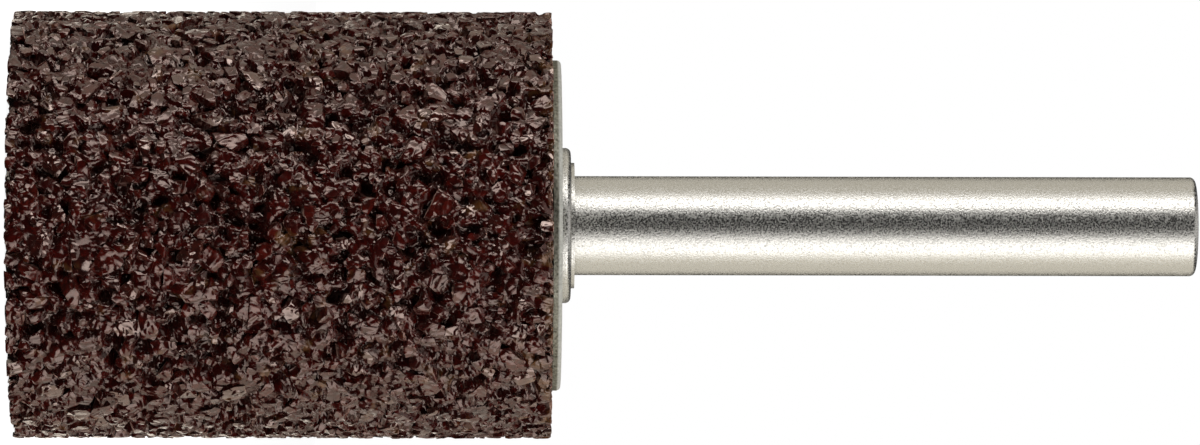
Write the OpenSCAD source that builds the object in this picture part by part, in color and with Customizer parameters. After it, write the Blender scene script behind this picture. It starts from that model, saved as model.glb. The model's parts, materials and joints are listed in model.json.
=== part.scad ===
// Mounted point: a cylindrical bonded-abrasive head on a steel spindle.
// The head is moulded round the knurled end of the spindle. A sheet-steel
// flange lies on the back of the head, under a collar upset on the spindle.
// The tool stands on its working face: z = 0 is that face, +Z runs up the shank.

/* [Abrasive head] */
// Diameter of the head
head_d = 25.9; // [22:0.1:40]
// Length of the head, from the working face to the back face
head_len = 32.5; // [28:0.5:50]
// Radius of the moulded edges of the head
head_edge_r = 0.3; // [0.1:0.05:1]

/* [Pores] */
// Distance between neighbouring pores, where grains have broken out of the head's side
pore_pitch = 2.8; // [2.4:0.1:5]
// Size of the largest grain that has broken out
pore_grain = 1.2; // [0.8:0.1:1.6]
// Depth of the socket that it leaves
pore_depth = 0.6; // [0.3:0.05:0.7]
// How far the middle of a pore may stray from an even pattern
pore_stray = 0.5; // [0:0.05:0.6]
// Picks one of many random patterns
pore_seed = 25; // [1:1:99]

/* [Backing flange] */
// Diameter of the flange
flange_d = 20; // [13:0.5:21]
// Thickness of the sheet
flange_t = 0.53; // [0.4:0.01:1.5]
// Radius of the blanked edge on the shank side
flange_edge_r = 0.26; // [0.1:0.02:0.36]
// Radial clearance of the flange's hole round the spindle
flange_clearance = 0.25; // [0.05:0.05:0.6]

/* [Collar] */
// How far the collar stands out from the shank
collar_overhang = 1.7; // [1.2:0.1:3]
// Thickness of the collar
collar_t = 0.61; // [0.45:0.01:2]
// Radius of the collar's edge on the shank side
collar_edge_r = 0.34; // [0.1:0.02:0.4]
// How far the step above the collar stands out from the shank
step_overhang = 0.8; // [0.2:0.05:0.8]
// Thickness of the step
step_t = 0.22; // [0.1:0.02:0.6]

/* [Shank] */
// Diameter of the spindle, gripped by the collet
shank_d = 6; // [3:0.1:8]
// Length from the back face of the head to the free end
shank_len = 39; // [30:1:75]
// Radius of the edge at the free end
shank_end_r = 0.34; // [0.1:0.02:1]

/* [Anchor in the head] */
// How deep the spindle reaches into the head
anchor_len = 22; // [14:1:26]
// Chamfer at the anchor's tip
anchor_tip = 0.6; // [0.2:0.1:1]
// Plain length between the back face of the head and the knurl
anchor_plain = 3; // [1:0.5:5]
// Width of the ring groove between the two knurled bands
ring_groove_w = 2; // [1:0.5:4]
// Depth of the ring groove
ring_groove_depth = 0.5; // [0.2:0.1:0.8]
// Distance between neighbouring teeth of the knurl
knurl_pitch = 0.9; // [0.85:0.05:1.4]
// Depth of the knurl's right-angled grooves
knurl_depth = 0.3; // [0.1:0.05:0.4]

/* [Hidden] */
$fn = 96;
// Cutters run this far past the surface that they cut
overrun = 0.2;
shank_r = shank_d / 2;
flange_z = head_len;
collar_z = flange_z + flange_t;
step_z = collar_z + collar_t;
shank_z = step_z + step_t;
end_z = head_len + shank_len;
anchor_z = head_len - anchor_len;
knurl_top_z = head_len - anchor_plain;
ring_groove_z = (anchor_z + anchor_tip + knurl_top_z - ring_groove_w) / 2;
knurl_teeth = floor(PI * shank_d / knurl_pitch);
// The middle of a pore stays this far from the head's ends, so that none cuts a moulded edge
pore_end = head_edge_r + pore_stray + pore_grain * sqrt(3) / 2;
pore_zone = head_len - 2 * pore_end;
pore_pairs = floor(PI * head_d * pore_zone / pow(pore_pitch, 2) / 2);
// Half the golden angle spreads pairs of pores round the head without rows
pore_turn = 90 * (3 - sqrt(5));
pore_lots = rands(0, 1, 6 * pore_pairs, pore_seed);

abrasive_colour = [0.24, 0.16, 0.14];
sheet_steel_colour = [0.60, 0.60, 0.55];
bright_steel_colour = [0.80, 0.79, 0.76];

// Half the section of a disc, from the axis outwards, with its upper edge rounded.
module disc_section(r, h, edge_r) {
    square([r, h - edge_r]);
    square([r - edge_r, h]);
    intersection() {
        square([r, h]);
        translate([r - edge_r, h - edge_r]) circle(edge_r);
    }
}

module rounded_disc(d, h, edge_r) {
    rotate_extrude() disc_section(d / 2, h, edge_r);
}

// One right-angled groove of the knurl, open at the anchor's tip.
module knurl_groove() {
    reach = knurl_depth + overrun;
    translate([shank_r - knurl_depth, 0, anchor_z - overrun])
        linear_extrude(knurl_top_z - anchor_z + overrun)
            polygon([[0, 0], [reach, reach], [reach, -reach]]);
}

// Half the section of the anchor before it is knurled: a chamfered bar with a ring groove.
module anchor_section() {
    difference() {
        polygon([
            [0, anchor_z],
            [shank_r - anchor_tip, anchor_z],
            [shank_r, anchor_z + anchor_tip],
            [shank_r, head_len],
            [0, head_len]
        ]);
        translate([shank_r - ring_groove_depth, ring_groove_z])
            square([ring_groove_depth + overrun, ring_groove_w]);
    }
}

// The end of the spindle that the head is moulded round.
module anchor() {
    difference() {
        rotate_extrude() anchor_section();
        for (tooth = [0 : knurl_teeth - 1])
            rotate(tooth * 360 / knurl_teeth) knurl_groove();
    }
}

// The head's solid form, with the same rounded edge at both ends.
module head_blank() {
    rotate_extrude() translate([0, head_len / 2]) {
        disc_section(head_d / 2, head_len / 2, head_edge_r);
        mirror([0, 1]) disc_section(head_d / 2, head_len / 2, head_edge_r);
    }
}

// One of a pore's six random numbers, brought between two limits.
function pore_lot(pore, number, low, high) = low + (high - low) * pore_lots[6 * pore + number];

// The hollow that an angular grain leaves: a tilted block that dips to a depth below z = 0.
module grain_socket(size, depth, tilt) {
    reach = size / 2 * (abs(sin(tilt.y)) + cos(tilt.y) * (abs(sin(tilt.x)) + abs(cos(tilt.x))));
    translate([0, 0, reach - depth]) rotate(tilt) cube(size, center = true);
}

// Pores lie in opposite pairs, so that the head runs true.
module pores() {
    for (pore = [0 : pore_pairs - 1], half_turn = [0, 180]) {
        share = pore_lot(pore, 0, 0.5, 1);
        stray_turn = pore_lot(pore, 1, -1, 1) * pore_stray / head_d * 360 / PI;
        z = pore_end + (pore + 0.5) * pore_zone / pore_pairs + pore_lot(pore, 2, -1, 1) * pore_stray;
        tilt = [pore_lot(pore, 3, 25, 65), pore_lot(pore, 4, 15, 45), pore_lot(pore, 5, 0, 360)];
        rotate(pore * pore_turn + stray_turn + half_turn)
            translate([head_d / 2, 0, z]) rotate([0, 90, 0])
                grain_socket(share * pore_grain, share * pore_depth, tilt);
    }
}

module abrasive_head() {
    color(abrasive_colour) difference() {
        head_blank();
        anchor();
        pores();
    }
}

module backing_flange() {
    color(sheet_steel_colour) translate([0, 0, flange_z]) difference() {
        rounded_disc(flange_d, flange_t, flange_edge_r);
        translate([0, 0, -overrun])
            cylinder(h = flange_t + 2 * overrun, r = shank_r + flange_clearance);
    }
}

module spindle() {
    color(bright_steel_colour) {
        anchor();
        translate([0, 0, flange_z]) cylinder(h = flange_t, r = shank_r);
        translate([0, 0, collar_z])
            rounded_disc(shank_d + 2 * collar_overhang, collar_t, collar_edge_r);
        translate([0, 0, step_z]) cylinder(h = step_t, r = shank_r + step_overhang);
        translate([0, 0, shank_z]) rounded_disc(shank_d, end_z - shank_z, shank_end_r);
    }
}

abrasive_head();
backing_flange();
spindle();
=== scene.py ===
# %% [markdown]
# # A mounted point
# A mounted point is a small grinding tool: a block of coarse abrasive grain, glued together by resin
# and moulded on the end of a steel spindle. The frame brings the exact solids. This lesson gives the two
# steel pieces their finish, and builds the block's surface grain by grain.

# %% Load the frame
import json
import math
import random

import bmesh
import bpy
from mathutils import Matrix, Vector, noise
from mathutils.bvhtree import BVHTree


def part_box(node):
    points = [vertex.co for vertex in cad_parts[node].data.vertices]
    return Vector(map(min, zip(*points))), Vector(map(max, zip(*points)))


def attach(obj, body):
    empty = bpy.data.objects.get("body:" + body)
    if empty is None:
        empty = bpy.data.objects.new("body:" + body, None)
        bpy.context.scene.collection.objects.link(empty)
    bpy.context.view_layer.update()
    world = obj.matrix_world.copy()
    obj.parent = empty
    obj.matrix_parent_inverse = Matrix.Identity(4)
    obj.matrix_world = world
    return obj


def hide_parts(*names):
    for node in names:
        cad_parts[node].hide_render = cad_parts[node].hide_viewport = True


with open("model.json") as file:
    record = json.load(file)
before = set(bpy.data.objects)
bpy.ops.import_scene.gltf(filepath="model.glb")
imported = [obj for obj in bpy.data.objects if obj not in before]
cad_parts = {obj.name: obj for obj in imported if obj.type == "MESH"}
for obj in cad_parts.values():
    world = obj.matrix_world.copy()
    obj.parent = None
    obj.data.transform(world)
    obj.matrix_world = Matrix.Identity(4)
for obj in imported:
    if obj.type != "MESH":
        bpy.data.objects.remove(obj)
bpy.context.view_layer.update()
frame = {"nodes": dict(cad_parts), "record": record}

# %% [markdown]
# All sizes come from the frame. They could be typed in again, but then two copies would have to agree.
# The head stands on its working face at z = 0, and the shank points up.

# %% Measure the solids
MM = 0.001
_, head_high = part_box("abrasive_head")
flange_low, flange_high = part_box("backing_flange")
spindle_low, spindle_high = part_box("spindle")
mounts = {mount["name"]: mount for mount in frame["record"]["mounts"]}
head_r = head_high.x
head_top = head_high.z
flange_r = flange_high.x
shank_r = mounts["shank"]["dims"]["r_mm"] * MM
print(f"head {head_r / MM:.2f} x {head_top / MM:.2f} mm, flange radius {flange_r / MM:.2f} mm")

# %% [markdown]
# The photograph shows the tool lying level, from about half a metre away, through a long lens. The model
# stands upright, so the camera lies on its side: its right is the model's +Z and its up is -X. A camera
# without any perspective could do too. A long lens far away keeps the head's ends almost straight, which
# is what the outline asks for, and still works like the lens that took the picture.

# %% Place the camera
PICTURE_W = 1200
FOCAL_PIXELS = 8102
CAMERA_DISTANCE = 490.6 * MM
CAMERA_HEIGHT = 25.64 * MM
CAMERA_SIDE = -0.19 * MM
CAMERA_SWING = math.radians(1.1435)
CAMERA_ROLL = math.radians(0.115)


def add_object(name, data):
    """Puts a new object into the scene, at the origin."""
    thing = bpy.data.objects.new(name, data)
    bpy.context.scene.collection.objects.link(thing)
    return thing


camera_data = bpy.data.cameras.new("long_lens")
camera_data.sensor_fit = "HORIZONTAL"
camera_data.lens = camera_data.sensor_width * FOCAL_PIXELS / PICTURE_W
camera = add_object("long_lens", camera_data)
bpy.context.scene.camera = camera
on_its_side = Matrix(((0, -1, 0), (0, 0, -1), (1, 0, 0))).to_4x4()
swing = Matrix.Rotation(CAMERA_SWING, 4, "X")
roll = Matrix.Rotation(CAMERA_ROLL, 4, "Z")
place = Matrix.Translation((CAMERA_SIDE, -CAMERA_DISTANCE, CAMERA_HEIGHT))
camera.matrix_world = place @ swing @ on_its_side @ roll
print(f"lens {camera_data.lens:.1f} mm")

# %% [markdown]
# The light follows what the bright shank shows: a softbox on each side of the camera, a paler reflector
# behind each, and darkness round the lens. An even white dome would be simpler, but it would leave the
# shank flat and grey. A panel is an area light of a given radiance, turned to face the tool's axis.

# %% Make a glowing panel
PANEL_DISTANCE = 350 * MM


def hang(name, away, foot, width, length, radiance, tint):
    """A glowing panel that faces the tool, a fixed distance from its foot on the axis."""
    data = bpy.data.lights.new(name, "AREA")
    data.shape = "RECTANGLE"
    data.size = width
    data.size_y = length
    data.energy = radiance * math.pi * width * length
    data.color = tint
    panel = add_object(name, data)
    panel.location = away * PANEL_DISTANCE + Vector((0, 0, foot))
    panel.rotation_euler = away.to_track_quat("Z", "Y").to_euler()
    panel.visible_camera = False
    print(f"{name}: {width / MM:.0f} mm wide, {data.energy:.2f} W")


print(f"panels will hang {PANEL_DISTANCE / MM:.0f} mm from the axis")

# %% [markdown]
# A cylinder works as a mirror of the studio, so each edge of a bright band on the shank gives the angle of
# an edge of a softbox. A softbox is brightest in its middle, so each one is hung in strips of different
# strength, which run along the tool. Angles count from the camera, positive towards the top of the
# picture. The lower softbox hangs nearer to the shank than to the head, and the pale sheets behind the
# tool reach only as far as the head's foot.

# %% Hang the softboxes
NEUTRAL = (1.0, 0.99, 0.98)
WARM = (1.0, 0.95, 0.83)
UPPER_SPAN = (-150 * MM, 270 * MM)
LOWER_SPAN = (-57 * MM, 270 * MM)
BACK_SPAN = (-200 * MM, 0)
STRIPS = (
    # name, first and last angle in degrees, radiance, tint, and stretch along the tool
    ("upper_near", 42, 49, 2.7, NEUTRAL, UPPER_SPAN),
    ("upper_middle", 49, 63, 5.2, NEUTRAL, UPPER_SPAN),
    ("upper_far", 63, 76, 1.3, NEUTRAL, UPPER_SPAN),
    ("upper_fringe", 76, 92, 0.8, WARM, UPPER_SPAN),
    ("upper_reflector", 92, 143, 0.8, WARM, UPPER_SPAN),
    ("upper_back", 143, 168, 2.0, WARM, BACK_SPAN),
    ("lower_near", -23, -36, 1.7, NEUTRAL, LOWER_SPAN),
    ("lower_middle", -36, -52, 2.7, NEUTRAL, LOWER_SPAN),
    ("lower_far", -52, -70, 3.0, NEUTRAL, LOWER_SPAN),
    ("lower_fringe", -70, -90, 1.2, WARM, LOWER_SPAN),
    ("lower_reflector", -90, -143, 1.0, WARM, LOWER_SPAN),
    ("lower_back", -143, -168, 2.2, WARM, BACK_SPAN),
)


def hang_strip(name, angle_from, angle_to, radiance, tint, span):
    """A long panel that fills the angles between angle_from and angle_to, seen from the tool."""
    low, high = span
    middle = math.radians(angle_from + angle_to) / 2
    half = math.radians(abs(angle_to - angle_from)) / 2
    away = Vector((-math.sin(middle), -math.cos(middle), 0))
    width = 2 * PANEL_DISTANCE * math.tan(half)
    hang(name, away, (low + high) / 2, width, high - low, radiance, tint)


for row in STRIPS:
    hang_strip(*row)

# %% [markdown]
# The strips run along the tool, so they hardly reach the flange and the collar, which face the shank's
# free end. Two more panels past that end light them. Their angles count from the camera too, but towards
# the shank's end.

# %% Light the faces that look along the shank
END_ANGLES = (58, 102)
END_WIDTH = 300 * MM
END_LENGTH = 280 * MM
END_RADIANCE = 0.7

for angle in END_ANGLES:
    past_the_end = Vector((0, -math.cos(math.radians(angle)), math.sin(math.radians(angle))))
    hang(f"end_{angle}", past_the_end, head_top, END_WIDTH, END_LENGTH, END_RADIANCE, NEUTRAL)

# %% [markdown]
# Materials and the world are node trees, and a few joints between nodes come again and again: a mix of
# two colours, a value moved to another span, a bump. Each could be wired by hand every time. Short helpers
# keep the finishes below readable. They take the two functions that make a node and a link in a tree.

# %% Make helpers for node trees


def mix_colours(make, link, factor, first, second):
    """A colour that runs from first to second. Either may be a plain colour or a socket."""
    mix = make("ShaderNodeMix")
    mix.data_type = "RGBA"
    link(factor, mix.inputs["Factor"])
    for socket, colour in ((mix.inputs["A"], first), (mix.inputs["B"], second)):
        if isinstance(colour, tuple):
            socket.default_value = (*colour, 1)
        else:
            link(colour, socket)
    return mix.outputs["Result"]


def remap(make, link, value, source=(0, 1), target=(0, 1)):
    """A value moved from one span to another, and held at the ends."""
    node = make("ShaderNodeMapRange")
    node.inputs["From Min"].default_value = source[0]
    node.inputs["From Max"].default_value = source[1]
    node.inputs["To Min"].default_value = target[0]
    node.inputs["To Max"].default_value = target[1]
    link(value, node.inputs["Value"])
    return node.outputs["Result"]


def above(make, link, low, high):
    """A factor that is 0 below one height of the tool and 1 above another."""
    where = make("ShaderNodeTexCoord")
    split = make("ShaderNodeSeparateXYZ")
    link(where.outputs["Object"], split.inputs["Vector"])
    return remap(make, link, split.outputs["Z"], (low, high))


def add_bump(make, link, shader, height, depth):
    """Lets a height pattern bend the shader's normal, as if it were depth metres deep."""
    bump = make("ShaderNodeBump")
    bump.inputs["Distance"].default_value = depth
    link(height, bump.inputs["Height"])
    link(bump.outputs["Normal"], shader.inputs["Normal"])


def new_material(name):
    """A material with its Principled shader, and short hands for making nodes and links in it."""
    material = bpy.data.materials.new(name)
    material.use_nodes = True
    tree = material.node_tree
    return material, tree.nodes["Principled BSDF"], tree.nodes.new, tree.links.new


print("helpers:", mix_colours.__name__, remap.__name__, above.__name__, add_bump.__name__)

# %% [markdown]
# The background is pure white, yet the tool mustn't see white all round, or the dark band on the shank
# would be lost. So the world is white to the camera and dim to everything else, as in a studio with its
# lamps off. A white wall behind the tool would be the real way, but other views would look past it.

# %% Whiten the background
WHITE = (1, 1, 1)
DIM = (0.02, 0.02, 0.02)


def studio_world():
    """A world that is white where the camera sees it, and nearly dark as a light."""
    world = bpy.data.worlds.new("studio")
    world.use_nodes = True
    make = world.node_tree.nodes.new
    link = world.node_tree.links.new
    ray = make("ShaderNodeLightPath")
    glow = mix_colours(make, link, ray.outputs["Is Camera Ray"], DIM, WHITE)
    link(glow, world.node_tree.nodes["Background"].inputs["Color"])
    return world


scene = bpy.context.scene
scene.view_settings.view_transform = "Standard"
scene.world = studio_world()
print("world:", scene.world.name)

# %% [markdown]
# The ground is a light table: a pale sheet that also glows, so that it stays white round the foot of the
# tool. It is one flat grid. A plain white sheet would turn grey in the tool's shade. The tool itself
# doesn't see the glow, because the softboxes already give all the light that the photograph shows on it.

# %% Lay the light table
# Half the sheet's width is in metres.
FLOOR_HALF = 1.2
SHEET_TONE = (0.86, 0.86, 0.86)
SHEET_ROUGHNESS = 0.7
SHEET_GLOW = 0.95


def table_sheet():
    """Pale sheet, lit from below."""
    material, shader, _, _ = new_material("table_sheet")
    shader.inputs["Base Color"].default_value = (*SHEET_TONE, 1)
    shader.inputs["Roughness"].default_value = SHEET_ROUGHNESS
    shader.inputs["Emission Color"].default_value = (*WHITE, 1)
    shader.inputs["Emission Strength"].default_value = SHEET_GLOW
    return material


sheet = bmesh.new()
bmesh.ops.create_grid(sheet, x_segments=1, y_segments=1, size=FLOOR_HALF)
floor_mesh = bpy.data.meshes.new("light_table")
sheet.to_mesh(floor_mesh)
sheet.free()
floor_mesh.materials.append(table_sheet())
floor = add_object("light_table", floor_mesh)
floor.visible_diffuse = False
floor.visible_glossy = False
print("light table laid")

# %% [markdown]
# Every metal here has a fine speckle: the bar is tumbled, and the sheet is plated. It could be modelled as
# tiny dents, but they are far smaller than a pixel. One node group makes it instead. It reads Object
# coordinates and puts out a mask and a height, so each metal can use it at its own grain size and depth.

# %% Make the speckle group
SPECKLE_OCTAVES = 3
# Nearly all values of a noise lie in this span.
NOISE_SPAN = (0.3, 0.7)


def speckle_group():
    """Even grain: its Size in millimetres goes in, a mask and a height come out."""
    group = bpy.data.node_groups.new("speckle", "ShaderNodeTree")
    group.interface.new_socket("Size", in_out="INPUT", socket_type="NodeSocketFloat")
    group.interface.new_socket("Mask", in_out="OUTPUT", socket_type="NodeSocketFloat")
    group.interface.new_socket("Height", in_out="OUTPUT", socket_type="NodeSocketFloat")
    make = group.nodes.new
    link = group.links.new
    entry = make("NodeGroupInput")
    leave = make("NodeGroupOutput")
    where = make("ShaderNodeTexCoord")
    scale = make("ShaderNodeMath")
    scale.operation = "DIVIDE"
    scale.inputs[0].default_value = 1 / MM
    link(entry.outputs["Size"], scale.inputs[1])
    fine = make("ShaderNodeTexNoise")
    fine.inputs["Detail"].default_value = SPECKLE_OCTAVES
    link(where.outputs["Object"], fine.inputs["Vector"])
    link(scale.outputs["Value"], fine.inputs["Scale"])
    link(remap(make, link, fine.outputs["Fac"], NOISE_SPAN), leave.inputs["Mask"])
    link(fine.outputs["Fac"], leave.inputs["Height"])
    return group


def add_speckle(make, size_mm):
    """Places the speckle in a material, at a grain size in millimetres."""
    node = make("ShaderNodeGroup")
    node.node_tree = speckle
    node.inputs["Size"].default_value = size_mm
    return node


speckle = speckle_group()
print("group:", speckle.name, [item.name for item in speckle.interface.items_tree])

# %% [markdown]
# The spindle is drawn steel bar, tumbled to a satin. Its solid is already right, so it keeps it and gets
# a metal with a fine bump. A metal with an even roughness would be smoother than the real one: the bump
# breaks the reflections into the speckle that the dark band shows. The free end is cut with a saw, so its
# flat is duller than the drawn side, and its colour is darkened as painted shade.

# %% Finish the spindle
# The grain's size is in millimetres. The span says which part of its mask turns from bright to dull.
BAR_GRAIN = 0.1
BAR_DARK = (0.44, 0.428, 0.4)
BAR_LIGHT = (0.62, 0.607, 0.575)
BAR_DULL_SPAN = (0.42, 0.95)
BAR_ROUGHNESS = (0.26, 0.62)
BAR_BUMP = 0.02 * MM
SAWN_DEPTH = 0.03 * MM
# The end is dull from the saw, and its colour is darkened as painted shade.
SAWN_END_PAINTED_SHADE = (0.24, 0.235, 0.225)
SAWN_ROUGHNESS = 0.75


def bright_steel():
    """Tumbled bar: specks on its side that are paler and duller, and an even, dull end with painted shade.
    """
    material, shader, make, link = new_material("bright_steel")
    shader.inputs["Metallic"].default_value = 1
    grain = add_speckle(make, BAR_GRAIN)
    sawn_and_shaded_end = above(make, link, spindle_high.z - SAWN_DEPTH, spindle_high.z)
    side = mix_colours(make, link, grain.outputs["Mask"], BAR_DARK, BAR_LIGHT)
    # Painted shade: the end face takes the darker colour.
    link(mix_colours(make, link, sawn_and_shaded_end, side, SAWN_END_PAINTED_SHADE), shader.inputs["Base Color"])
    side_rough = remap(make, link, grain.outputs["Mask"], BAR_DULL_SPAN, BAR_ROUGHNESS)
    rough = make("ShaderNodeMix")
    rough.inputs["B"].default_value = SAWN_ROUGHNESS
    link(sawn_and_shaded_end, rough.inputs["Factor"])
    link(side_rough, rough.inputs["A"])
    link(rough.outputs["Result"], shader.inputs["Roughness"])
    add_bump(make, link, shader, grain.outputs["Height"], BAR_BUMP)
    return material


spindle = frame["nodes"]["spindle"]
spindle.material_slots[0].material = bright_steel()
print("spindle finished:", spindle.material_slots[0].material.name)

# %% [markdown]
# The flange is blanked from plated sheet. Its sheared rim is dull and dark, and its face is paler. Two
# materials could share its faces, but the solid's mesh is left as it is. So one material tells rim and
# face apart by the height above the head.

# %% Finish the flange
PLATE_GRAIN = 0.17
RIM_DARK = (0.08, 0.076, 0.055)
RIM_LIGHT = (0.36, 0.35, 0.29)
PLATE_DARK = (0.66, 0.66, 0.62)
PLATE_LIGHT = (0.82, 0.82, 0.78)
RIM_END = 0.26 * MM
PLATE_START = 0.36 * MM
RIM_TO_PLATE_ROUGHNESS = (0.55, 0.9)
PLATE_BUMP = 0.03 * MM


def sheet_steel():
    """Plated sheet: a dark sheared rim below, and a pale, dull face above."""
    material, shader, make, link = new_material("sheet_steel")
    shader.inputs["Metallic"].default_value = 1
    grain = add_speckle(make, PLATE_GRAIN)
    level = above(make, link, flange_low.z + RIM_END, flange_low.z + PLATE_START)
    rim = mix_colours(make, link, grain.outputs["Mask"], RIM_DARK, RIM_LIGHT)
    plate = mix_colours(make, link, grain.outputs["Mask"], PLATE_DARK, PLATE_LIGHT)
    link(mix_colours(make, link, level, rim, plate), shader.inputs["Base Color"])
    link(remap(make, link, level, target=RIM_TO_PLATE_ROUGHNESS), shader.inputs["Roughness"])
    add_bump(make, link, shader, grain.outputs["Height"], PLATE_BUMP)
    return material


flange = frame["nodes"]["backing_flange"]
flange.material_slots[0].material = sheet_steel()
print("flange finished:", flange.material_slots[0].material.name)

# %% [markdown]
# The head is moulded: grain and resin are pressed against a smooth wall, and where a large grain has
# fallen out, a pore is left. The solid has these pores, so the dressed head must have them at the same
# places. They could be sown again by the same rule, but a ray that is sent into the solid's own skin tells
# how deep it lies at any point, and can't disagree with it.

# %% Feel for the pores of the solid
FEELER = 1.0 * MM
FEELER_REACH = 3 * FEELER
# The solid's round side is made of flat faces, so this little depth is no pore.
SKIN_SLACK = 0.03 * MM
solid_mesh = frame["nodes"]["abrasive_head"].data
solid_skin = BVHTree.FromPolygons(
    [vert.co for vert in solid_mesh.vertices], [face.vertices for face in solid_mesh.polygons]
)


def pore_depth(point, outward):
    """How deep the solid lies under a point of the head's smooth wall, in metres."""
    hit, _, _, reached = solid_skin.ray_cast(point + outward * FEELER, -outward, FEELER_REACH)
    if hit is None:
        return 0
    return max(0, reached - FEELER - SKIN_SLACK)


side_point = Vector((head_r, 0, head_top / 2))
print("pore at the middle of the side:", f"{pore_depth(side_point, Vector((1, 0, 0))) / MM:.2f} mm")

# %% [markdown]
# Between the grains lies a rough crust of resin and fines, with a small pit wherever a grain is missing.
# A bump map could paint it, but then the pits would cast no shadow. So the crust is a real surface that
# sinks under the wall by a depth that is worked out at each point: the solid's pore there, and clumps,
# cracks and pits from a cell pattern. All depths in this cell are in millimetres.

# %% Work out the crust's depth
CRUST_TOP = 0.04
LEAST_DEPTH = 0.01
CRACK_DEPTH = 0.14
# The widths of a crack and of a pit's wall are shares of a clump's size.
CRACK_WIDTH = 0.12
PIT_WALL = 0.15
# The keys turn one clump's seed into two draws that have nothing to do with each other.
LOT_KEY = 97
LEAN_KEY = 61
HALF = Vector((0.5, 0.5, 0.5))
CLUMPS = (
    # size in millimetres, how far one may stand lower, greatest slope, share of pits and their depth
    (0.85, 0.13, 0.20, 0.20, 0.75),
    (0.55, 0.11, 0.20, 0.22, 0.55),
)


def crust_depth(point, outward):
    """How deep the crust lies under the wall at a point, and a lot from 0 to 1 for the small clump there."""
    spot = point / MM
    depth = CRUST_TOP + pore_depth(point, outward) / MM
    for size, drop, slope, pit_share, pit_depth in CLUMPS:
        near, seeds = noise.voronoi(spot / size)
        seed = seeds[0]
        gap = near[1] - near[0]
        lot = noise.cell_vector(seed * LOT_KEY)
        lean = noise.cell_vector(seed * LEAN_KEY) - HALF
        depth += drop * lot.x + 2 * slope * lean.dot(spot - seed * size)
        depth += CRACK_DEPTH * max(0, 1 - gap / CRACK_WIDTH)
        if lot.y < pit_share:
            depth += pit_depth * min(1, gap / PIT_WALL)
    return max(LEAST_DEPTH, depth), lot.z


print(f"crust at the middle of the side: {crust_depth(side_point, Vector((1, 0, 0)))[0]:.2f} mm deep")

# %% [markdown]
# The crust's mesh is spun from half a section: the working face, the side, the back and the socket for the
# spindle. A cylinder primitive would need its caps cut up again, while a section can have a fine step
# where the grain shows and a single edge where nothing does.

# %% Draw half a section of the crust
CRUST_STEP = 0.205 * MM
FACE_STEP = 0.32 * MM
# A step that is longer than any run leaves the run as one edge.
ONE_EDGE = 50 * MM


def straight_run(start, end, step):
    """Points from start towards end, about a step apart, without the last."""
    count = max(1, round((end - start).length / step))
    return [start.lerp(end, index / count) for index in range(count)]


def crust_section():
    """Half a section of the head, from the middle of the working face to the socket's floor."""
    corners = [
        (Vector((0, 0, 0)), FACE_STEP),
        (Vector((head_r, 0, 0)), CRUST_STEP),
        (Vector((head_r, 0, head_top)), CRUST_STEP),
        (Vector((shank_r, 0, head_top)), ONE_EDGE),
        (Vector((shank_r, 0, spindle_low.z)), ONE_EDGE),
        (Vector((0, 0, spindle_low.z)), ONE_EDGE),
    ]
    section = []
    for (start, step), (end, _) in zip(corners, corners[1:]):
        section += straight_run(start, end, step)
    section.append(corners[-1][0])
    return section


half_section = crust_section()
print("half section:", len(half_section), "points")

# %% [markdown]
# A full spin turns the section into a closed skin. Then each corner sinks along its normal by the depth
# found above. A displacement modifier could move the corners too, but it knows nothing of the solid's
# pores. Each face keeps a tone for its colour: deep crust is darkened as painted shade, and high crust
# takes its clump's lot.

# %% Spin and sink the crust
MERGE_WITHIN = 0.001 * MM
SOCKET_MARGIN = 2 * MM
FACE_MARGIN = 1 * MM
# Crust that lies this many millimetres deep gets the darkest tone, as painted shade.
PAINTED_SHADE_DEPTH = 0.5


def crust_mesh(section):
    """The spun section, sunk by the crust's depth everywhere but in and round the socket."""
    mesh = bmesh.new()
    line = [mesh.verts.new(point) for point in section]
    edges = [mesh.edges.new(pair) for pair in zip(line, line[1:])]
    bmesh.ops.spin(
        mesh, geom=line + edges, cent=(0, 0, 0), axis=(0, 0, 1),
        angle=math.tau, steps=round(math.tau * head_r / CRUST_STEP), use_merge=True,
    )
    bmesh.ops.remove_doubles(mesh, verts=mesh.verts, dist=MERGE_WITHIN)
    bmesh.ops.recalc_face_normals(mesh, faces=mesh.faces)
    mesh.normal_update()
    tone = mesh.faces.layers.float.new("tone")
    for face in mesh.faces:
        depth, lot = crust_depth(face.calc_center_median(), face.normal)
        # Painted shade: the deeper the crust, the darker its tone.
        face[tone] = lot * max(0, 1 - depth / PAINTED_SHADE_DEPTH)
        face.smooth = True
    for vert in mesh.verts:
        on_wall = vert.co.xy.length > shank_r + SOCKET_MARGIN
        if on_wall or vert.co.z < FACE_MARGIN:
            vert.co -= vert.normal * crust_depth(vert.co, vert.normal)[0] * MM
    return mesh


crust = crust_mesh(half_section)
print("crust:", len(crust.verts), "corners")

# %% [markdown]
# Broken stone has fine steps that run one way on one grain and another way on the next, and the resin
# over it keeps them as streaks. Plain noise alone would look like dough. So the place where a noise is read
# is turned by a random angle in each clump, and shrunk along one axis, which draws the noise out.

# %% Turn the streaks from clump to clump
# A clump's size is in millimetres, and a streak is this many times as long as it is wide.
STREAK_CLUMP = 1.0
STREAK_LENGTH = 3.0


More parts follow.
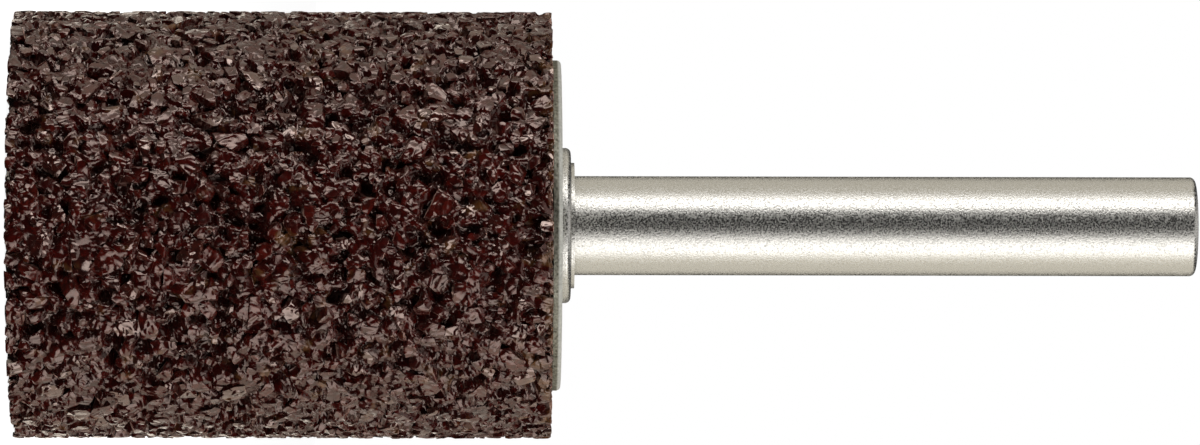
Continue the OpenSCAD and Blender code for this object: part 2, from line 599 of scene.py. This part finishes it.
def streak_place(make, link, place):
    """The place, turned another way in each clump and shrunk along one axis."""
    clumps = make("ShaderNodeTexVoronoi")
    clumps.inputs["Scale"].default_value = 1 / (STREAK_CLUMP * MM)
    link(place, clumps.inputs["Vector"])
    angles = make("ShaderNodeVectorMath")
    angles.operation = "SCALE"
    angles.inputs["Scale"].default_value = math.tau
    link(clumps.outputs["Color"], angles.inputs["Vector"])
    turned = make("ShaderNodeVectorRotate")
    turned.rotation_type = "EULER_XYZ"
    link(place, turned.inputs["Vector"])
    link(angles.outputs["Vector"], turned.inputs["Rotation"])
    drawn = make("ShaderNodeVectorMath")
    drawn.operation = "MULTIPLY"
    drawn.inputs[1].default_value = (1 / STREAK_LENGTH, 1, 1)
    link(turned.outputs["Vector"], drawn.inputs[0])
    return drawn.outputs["Vector"]


print(f"streaks turn every {STREAK_CLUMP} mm")

# %% [markdown]
# Resin lies over crust and grains as a crumpled film. Its wrinkles are too fine to model, so one node
# group makes its three patterns: the height, which is a crumple with streaks on it, the mottle, which says
# where the film is thick or thin, and a few amber patches, which gather under the flange.

# %% Make the resin film group
# Each pattern has a size in millimetres, a detail in octaves and a distortion.
CRUMPLE = (1.1, 0.5, 0.3)
STREAKS = (0.42, 0, 0.4)
MOTTLE = (0.42, 1, 0.5)
AMBER_PATCHES = (1.6, 2, 0)
# Both rises are in millimetres.
CRUMPLE_RISE = 0.22
STREAK_RISE = 0.2
AMBER_BAND = 1.0 * MM
AMBER_GATHERING = 0.22
AMBER_SPAN = (0.62, 0.72)


def add_noise(make, link, place, pattern):
    """A noise pattern, read at a place socket."""
    size, detail, distortion = pattern
    node = make("ShaderNodeTexNoise")
    node.inputs["Scale"].default_value = 1 / (size * MM)
    node.inputs["Detail"].default_value = detail
    node.inputs["Distortion"].default_value = distortion
    link(place, node.inputs["Vector"])
    return node.outputs["Fac"]


def add_share(make, link, base, share, extra):
    """A value with a share of another on top."""
    node = make("ShaderNodeMath")
    node.operation = "MULTIPLY_ADD"
    link(extra, node.inputs[0])
    node.inputs[1].default_value = share
    link(base, node.inputs[2])
    return node.outputs["Value"]


def film_group():
    """Patterns of the resin film: Height in noise units, Mottle and Amber from 0 to 1."""
    group = bpy.data.node_groups.new("resin_film", "ShaderNodeTree")
    for name in ("Height", "Mottle", "Amber"):
        group.interface.new_socket(name, in_out="OUTPUT", socket_type="NodeSocketFloat")
    make = group.nodes.new
    link = group.links.new
    leave = make("NodeGroupOutput")
    place = make("ShaderNodeTexCoord").outputs["Object"]
    crumple = add_noise(make, link, place, CRUMPLE)
    streaks = add_noise(make, link, streak_place(make, link, place), STREAKS)
    height = add_share(make, link, crumple, STREAK_RISE / CRUMPLE_RISE, streaks)
    link(height, leave.inputs["Height"])
    mottle = add_noise(make, link, place, MOTTLE)
    link(remap(make, link, mottle, NOISE_SPAN), leave.inputs["Mottle"])
    under_flange = above(make, link, head_top - AMBER_BAND, head_top)
    patches = add_noise(make, link, place, AMBER_PATCHES)
    amber = add_share(make, link, patches, AMBER_GATHERING, under_flange)
    link(remap(make, link, amber, AMBER_SPAN), leave.inputs["Amber"])
    return group


resin_film = film_group()
print("group:", resin_film.name, [item.name for item in resin_film.interface.items_tree])

# %% [markdown]
# No two grains have quite the same shade of dark red-brown. Each could have a material of its own, but a
# number on its faces, its tone, gives as many shades with a single ramp of colours. Coated grains, bare
# stone and the fines of the crust have a ramp each.

# %% Choose the shades
# Each shade has its place on the scale of tones and its colour.
FILM_SHADES = (
    (0.0, (0.034, 0.0008, 0.0004)),
    (0.4, (0.046, 0.0016, 0.0008)),
    (1.0, (0.062, 0.0042, 0.0022)),
)
STONE_SHADES = (
    (0.0, (0.034, 0.0020, 0.0010)),
    (0.7, (0.048, 0.0060, 0.0035)),
    (1.0, (0.056, 0.0120, 0.0070)),
)
# Deep crust takes the low end of this ramp as painted shade; high crust takes it at random.
FINES_SHADES = (
    (0.0, (0.022, 0.0003, 0.0002)),
    (0.15, (0.034, 0.0008, 0.0004)),
    (0.5, (0.046, 0.0016, 0.0008)),
    (1.0, (0.060, 0.0040, 0.0022)),
)


def shade_ramp(make, link, tone, shades):
    """The colour for a tone. The first and the last shade lie at the ends of the ramp."""
    ramp = make("ShaderNodeValToRGB")
    points = ramp.color_ramp.elements
    for place, _ in shades[1:-1]:
        points.new(place)
    for point, (_, colour) in zip(points, shades):
        point.color = (*colour, 1)
    link(tone, ramp.inputs["Fac"])
    return ramp.outputs["Color"]


print("shades:", len(FILM_SHADES), len(STONE_SHADES), len(FINES_SHADES))

# %% [markdown]
# Grains and crust share one kind of material: a glossy film over stone. A clear coat over a dull stone
# would be the real build, but here film and stone shine alike, so one layer does. Bare stone has less
# resin, so it mirrors more and shows less red. A thin sheen stands for grinding dust.

# %% Mix the grain materials
# Each roughness is for the darkest tone and for the lighter ones, which start at LIGHTER_TONES.
FILM_ROUGHNESS = (0.26, 0.19)
STONE_ROUGHNESS = (0.19, 0.15)
FINES_ROUGHNESS = (0.15, 0.19)
LIGHTER_TONES = 0.3
FILM_IOR = 1.76
STONE_IOR = 2.15
FINES_IOR = 1.68
FILM_THICKNESS = (0.5, 1.5)
AMBER = (0.10, 0.040, 0.012)
WARM_SHINE = (1.0, 0.79, 0.7)
DUST = 0.6
DUST_ROUGHNESS = 0.3
DUST_TINT = (1.0, 0.62, 0.5)


def grain_material(name, shades, ior, roughness):
    """Resin over stone, with the shade and the gloss that each face's tone asks for."""
    material, shader, make, link = new_material(name)
    stored = make("ShaderNodeAttribute")
    stored.attribute_name = "tone"
    tone = stored.outputs["Fac"]
    pattern = make("ShaderNodeGroup")
    pattern.node_tree = resin_film
    shade = shade_ramp(make, link, tone, shades)
    mottled = make("ShaderNodeVectorMath")
    mottled.operation = "SCALE"
    link(mix_colours(make, link, pattern.outputs["Amber"], shade, AMBER), mottled.inputs["Vector"])
    link(remap(make, link, pattern.outputs["Mottle"], target=FILM_THICKNESS), mottled.inputs["Scale"])
    link(mottled.outputs["Vector"], shader.inputs["Base Color"])
    link(remap(make, link, tone, (0, LIGHTER_TONES), roughness), shader.inputs["Roughness"])
    shader.inputs["IOR"].default_value = ior
    shader.inputs["Specular Tint"].default_value = (*WARM_SHINE, 1)
    shader.inputs["Sheen Weight"].default_value = DUST
    shader.inputs["Sheen Roughness"].default_value = DUST_ROUGHNESS
    shader.inputs["Sheen Tint"].default_value = (*DUST_TINT, 1)
    add_bump(make, link, shader, pattern.outputs["Height"], CRUMPLE_RISE * MM)
    return material


film = grain_material("film", FILM_SHADES, FILM_IOR, FILM_ROUGHNESS)
stone = grain_material("stone", STONE_SHADES, STONE_IOR, STONE_ROUGHNESS)
fines = grain_material("fines", FINES_SHADES, FINES_IOR, FINES_ROUGHNESS)
print("grain materials:", film.name, stone.name, fines.name)

# %% [markdown]
# The head's solid stays in the frame for its weight and its contact, and the dressed pieces stand for it
# in the picture. Each of them rides on the one body that the tool has. The crust is the first.

# %% Put the crust in place


def piece_from(mesh, name, material):
    """Makes a bmesh a finished piece of the head."""
    data = bpy.data.meshes.new(name)
    mesh.to_mesh(data)
    mesh.free()
    data.materials.append(material)
    piece = add_object(name, data)
    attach(piece, "root")
    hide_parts("abrasive_head")
    triangles = sum(len(face.vertices) - 2 for face in data.polygons)
    print(f"{name}: {len(data.polygons)} faces, {triangles} triangles")
    return piece


piece_from(crust, "crust", fines)

# %% [markdown]
# Abrasive grain is crushed: a hard lump with flat, sharp-edged faces at odd angles. A rough sphere would
# look like gravel. A cube that is cut by a few random planes looks just like crushed stone, and has few
# faces. A stock of such lumps is cut once here, and every grain of the head is a turned and stretched copy
# of one of them.

# %% Crush a stock of grains
SEED = 25
SHAPES = 80
CUTS = 9
CUT_DISTANCES = (0.62, 0.95)
CUT_SLACK = 1e-9
LUMP_WIDTH = 2
chance = random.Random(SEED)


def random_direction():
    """A unit vector that may point any way."""
    z = chance.uniform(-1, 1)
    turn = chance.uniform(0, math.tau)
    flat = math.sqrt(1 - z * z)
    return Vector((flat * math.cos(turn), flat * math.sin(turn), z))


def cut(mesh, point, outward):
    """Slices off what lies outside a plane and closes the slice."""
    geometry = mesh.verts[:] + mesh.edges[:] + mesh.faces[:]
    result = bmesh.ops.bisect_plane(
        mesh, geom=geometry, dist=CUT_SLACK, plane_co=point, plane_no=outward, clear_outer=True
    )
    edges = [item for item in result["geom_cut"] if isinstance(item, bmesh.types.BMEdge)]
    if edges:
        bmesh.ops.edgeloop_fill(mesh, edges=edges)


def crushed_lump():
    """A convex lump about two units across."""
    mesh = bmesh.new()
    bmesh.ops.create_cube(mesh, size=LUMP_WIDTH)
    for _ in range(CUTS):
        outward = random_direction()
        cut(mesh, outward * chance.uniform(*CUT_DISTANCES), outward)
    bmesh.ops.recalc_face_normals(mesh, faces=mesh.faces)
    data = bpy.data.meshes.new("lump")
    mesh.to_mesh(data)
    mesh.free()
    return data


lumps = [crushed_lump() for _ in range(SHAPES)]
face_counts = [len(lump.polygons) for lump in lumps]
print(f"{len(lumps)} lumps with {min(face_counts)} to {max(face_counts)} faces")

# %% [markdown]
# A grain may lie anywhere on the head's skin: on the side, the working face or the ring round the flange.
# Each of the three could be sown by itself, but then the edges between them would show. So a spot is drawn
# from all of them by their share of the area, and the grains are equally dense everywhere.

# %% Pick random spots
RING_UNDER_FLANGE = 1.0 * MM
ring_inside = flange_r - RING_UNDER_FLANGE
side_area = math.tau * head_r * head_top
face_area = math.pi * head_r ** 2
ring_area = math.pi * (head_r ** 2 - ring_inside ** 2)


def random_spot():
    """A point of the head's skin and the way out of it there."""
    pick = chance.uniform(0, side_area + face_area + ring_area)
    turn = chance.uniform(0, math.tau)
    out = Vector((math.cos(turn), math.sin(turn), 0))
    if pick < side_area:
        return out * head_r + Vector((0, 0, chance.uniform(0, head_top))), out
    if pick < side_area + face_area:
        return out * head_r * math.sqrt(chance.random()), Vector((0, 0, -1))
    radius = math.sqrt(chance.uniform(ring_inside ** 2, head_r ** 2))
    return out * radius + Vector((0, 0, head_top)), Vector((0, 0, 1))


print(f"side {side_area / MM ** 2:.0f}, face {face_area / MM ** 2:.0f}, ring {ring_area / MM ** 2:.0f} mm2")

# %% [markdown]
# The grains are sown from coarse to fine. A grain falls on a random spot and stays if it doesn't crowd the
# ones before it, so the small ones fill the gaps between the large. Grains could be dropped into a mould
# by a simulation, but this gives the same close pack in seconds. Pores and pits stay open. A field of
# cells, each as wide as the largest grain, keeps the search for neighbours short.

# %% Sow the grains
SIZES = (
    # smallest and largest radius in millimetres, tries, and the share of two radii kept between centres
    (0.52, 0.84, 1500, 0.86),
    (0.33, 0.52, 5000, 0.86),
    (0.20, 0.33, 4000, 0.86),
)
CELL = 2 * SIZES[0][1] * MM
# Crust that lies this many millimetres deep is an open pore or pit.
OPEN_PIT = 0.45
# A grain's centre lies under the skin by a share of its radius.
SUNK_SHARE = (0.5, 1.05)


def cell_of(point):
    """The cell of the field that a point lies in."""
    return tuple(math.floor(value / CELL) for value in point)


def crowded(point, radius, keep, field):
    """True if a grain there would press too far into one that is already sown."""
    x, y, z = cell_of(point)
    for i in (x - 1, x, x + 1):
        for j in (y - 1, y, y + 1):
            for k in (z - 1, z, z + 1):
                for other, other_radius in field.get((i, j, k), ()):
                    if (other - point).length < keep * (radius + other_radius):
                        return True
    return False


def sow():
    """The centre and the radius of every grain that found room."""
    field = {}
    grains = []
    for smallest, largest, tries, keep in SIZES:
        for _ in range(tries):
            radius = chance.uniform(smallest, largest) * MM
            spot, out = random_spot()
            centre = spot - out * radius * chance.uniform(*SUNK_SHARE)
            in_pit = crust_depth(spot, out)[0] > OPEN_PIT
            if not in_pit and not crowded(centre, radius, keep, field):
                field.setdefault(cell_of(centre), []).append((centre, radius))
                grains.append((centre, radius))
        print(f"down to {smallest} mm: {len(grains)} grains")
    return grains


grains = sow()

# %% [markdown]
# The mould's wall stops each grain. Where a grain meets the wall it could be cut flat, but then all the
# grains would flash at once. So it gets a few facets that lean away from its middle, and neighbours, and
# the facets of one grain, catch the light differently.

# %% Cut the grains at the wall
FACETS = 3
LEAN = math.radians(10)
SINK = 0.05 * MM
SINK_SHARE = (0.1, 1)


def face_off(mesh, point, outward):
    """Cuts a grain at the wall, by facets that lean different ways."""
    side = outward.orthogonal()
    turn = chance.uniform(0, math.tau)
    for facet in range(FACETS):
        axis = Matrix.Rotation(turn + math.tau * facet / FACETS, 3, outward) @ side
        leaning = Matrix.Rotation(abs(chance.gauss(0, LEAN)), 3, axis) @ outward
        cut(mesh, point - outward * chance.uniform(*SINK_SHARE) * SINK, leaning)


def cut_at_walls(mesh, centre, reach):
    """Cuts a grain at each wall of the head that it could reach through."""
    across = centre.xy.length
    if across + reach > head_r:
        out = Vector((centre.x, centre.y, 0)) / across
        face_off(mesh, out * head_r + Vector((0, 0, centre.z)), out)
    if centre.z < reach:
        face_off(mesh, Vector((centre.x, centre.y, 0)), Vector((0, 0, -1)))
    if centre.z > head_top - reach:
        face_off(mesh, Vector((centre.x, centre.y, head_top)), Vector((0, 0, 1)))


def keep_inside(point):
    """Pulls a corner that a leaning facet left outside back to the wall."""
    across = point.xy.length
    if across > head_r:
        point.xy *= head_r / across
    point.z = min(max(point.z, 0), head_top)


print(f"{FACETS} facets at the wall, leaning by about {math.degrees(LEAN):.0f} degrees")

# %% [markdown]
# Each grain is a lump from the stock, stretched, turned, moved to its place and cut at the wall. Instances
# would be lighter, but each grain is cut differently, so all of them are gathered into two meshes: those
# that the film coats and those that show bare stone. A tone of its own is stored on each grain's faces.
# The film rounds the flat edges off, so only the steep ones are shaded sharp.

# %% Set the grains
# A grain's length, breadth and thickness, and how far it may reach, are shares of its radius.
LENGTH_SHARE = 1.15
BREADTH_SHARES = (0.75, 1.1)
THICKNESS_SHARES = (0.65, 1)
REACH_SHARE = 1.3
TONE_STRAY = 0.06
STONE_SHARE = 0.22
SHARP = math.radians(50)


def set_grain(target, scratch, centre, radius, tone):
    """Adds one grain to the target mesh, by way of a scratch mesh."""
    mesh = bmesh.new()
    mesh.from_mesh(chance.choice(lumps))
    stretch = Vector((LENGTH_SHARE, chance.uniform(*BREADTH_SHARES), chance.uniform(*THICKNESS_SHARES)))
    turn = Matrix.Rotation(chance.uniform(0, math.tau), 4, random_direction())
    place = Matrix.Translation(centre) @ turn @ Matrix.Diagonal((*(stretch * radius), 1))
    bmesh.ops.transform(mesh, matrix=place, verts=mesh.verts)
    cut_at_walls(mesh, centre, REACH_SHARE * radius)
    shade = mesh.faces.layers.float.new("tone")
    for face in mesh.faces:
        face[shade] = tone + chance.uniform(-TONE_STRAY, TONE_STRAY)
    for vert in mesh.verts:
        keep_inside(vert.co)
    mesh.to_mesh(scratch)
    mesh.free()
    target.from_mesh(scratch)


def set_grains(chosen):
    """One mesh of all the chosen grains, each with a tone of its own."""
    target = bmesh.new()
    target.faces.layers.float.new("tone")
    scratch = bpy.data.meshes.new("scratch")
    for centre, radius in chosen:
        set_grain(target, scratch, centre, radius, chance.random())
    bmesh.ops.recalc_face_normals(target, faces=target.faces)
    for face in target.faces:
        face.smooth = True
    bpy.data.meshes.remove(scratch)
    return target


coated = []
bare = []
for grain in grains:
    group = bare if chance.random() < STONE_SHARE else coated
    group.append(grain)
coated_grains = piece_from(set_grains(coated), "coated_grains", film)
bare_grains = piece_from(set_grains(bare), "bare_grains", stone)
for piece in (coated_grains, bare_grains):
    piece.data.set_sharp_from_angle(angle=SHARP)
